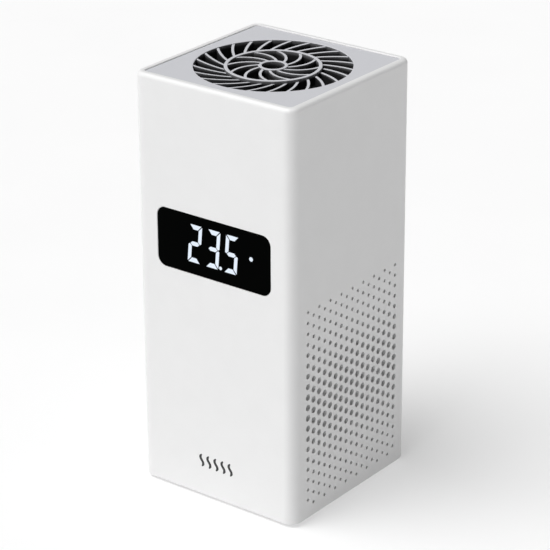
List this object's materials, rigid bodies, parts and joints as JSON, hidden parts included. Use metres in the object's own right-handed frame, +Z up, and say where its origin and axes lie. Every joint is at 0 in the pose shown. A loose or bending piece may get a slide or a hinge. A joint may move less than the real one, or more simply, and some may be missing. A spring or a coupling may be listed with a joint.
{
  "type": "tower heater",
  "caption": "Small square tower fan heater for a printer enclosure, with perforated sides, a swirl outlet grille and a number display.",
  "frame": {"origin": "under the middle of the feet, on the surface the heater stands on", "axes": "+Z up along the tower, the display and the front face -Y, and one perforated side faces +X"},
  "size_m": [0.066, 0.066, 0.15],
  "materials": {
    "bearing_bronze": "sintered bronze",
    "black_plastic": "black",
    "button_grey": "light grey",
    "can_aluminium": "sleeved can",
    "ceramic_bar": "ceramic in white film",
    "choke_black": "ferrite",
    "circuit_board": "green solder mask",
    "coil_copper": "enamelled copper",
    "contact_brass": "nickel or plain brass",
    "core_steel": "plain steel",
    "dark_lens": "polished black, smoked",
    "fin_aluminium": "bare",
    "foot_rubber": "black rubber",
    "fuse_metal": "metal can",
    "grey_base": "light grey, fine matte",
    "grey_grille": "light grey, fine matte",
    "heat_proof_plastic": "dark grey, glass filled",
    "lamp_white": "pale resin",
    "lead_red": "silicone insulation",
    "lead_white": "insulation",
    "magnet_rubber": "bonded ferrite",
    "screw_steel": "zinc plated",
    "sensor_glass": "resin bead",
    "white_guide": "white",
    "white_shell": "satin white moulded plastic"
  },
  "bodies": {
    "casing": {"air_duct": "heat_proof_plastic", "base_cover": "grey_base", "base_screws": "screw_steel", "board_screws": "screw_steel", "body_sleeve": "white_shell", "control_chip": "black_plastic", "display_board": "circuit_board", "display_cable": "lead_white", "display_lamps": "lamp_white", "display_lens": "dark_lens", "display_light_guide": "white_guide", "display_screws": "screw_steel", "fan_bearings": "bearing_bronze", "fan_board": "circuit_board", "fan_frame": "black_plastic", "fan_lead": "lead_white", "fan_plate": "heat_proof_plastic", "fan_screws": "screw_steel", "filter_capacitors": "can_aluminium", "grille_screws": "screw_steel", "heater_fins": "fin_aluminium", "heater_frame": "heat_proof_plastic", "heater_leads": "lead_red", "inlet_contact": "contact_brass", "main_board": "circuit_board", "power_choke": "choke_black", "power_inlet": "black_plastic", "power_switch": "black_plastic", "power_transistor": "black_plastic", "ptc_bars": "ceramic_bar", "rubber_feet": "foot_rubber", "stator_coils": "coil_copper", "stator_core": "core_steel", "temperature_sensor": "sensor_glass", "thermal_fuse": "fuse_metal", "top_grille": "grey_grille", "transistor_heatsink": "fin_aluminium", "wire_sockets": "white_guide"},
    "fan_rotor": {"fan_impeller": "black_plastic", "rotor_yoke": "core_steel", "rotor_magnet": "magnet_rubber", "fan_shaft": "core_steel", "shaft_clip": "white_guide"},
    "button": {"power_button": "button_grey"}
  },
  "joints": [
    {"name": "fan_spin", "type": "hinge", "parent": "casing", "child": "fan_rotor", "pos_m": [0, 0, 0.086], "axis": [0, 0, 1], "continuous": true},
    {"name": "power_button_press", "type": "slide", "parent": "casing", "child": "button", "axis": [0, -1, 0], "range_m": [0, 0.0015], "stiffness_N_per_m": 600, "springref_m": -0.001}
  ]
}
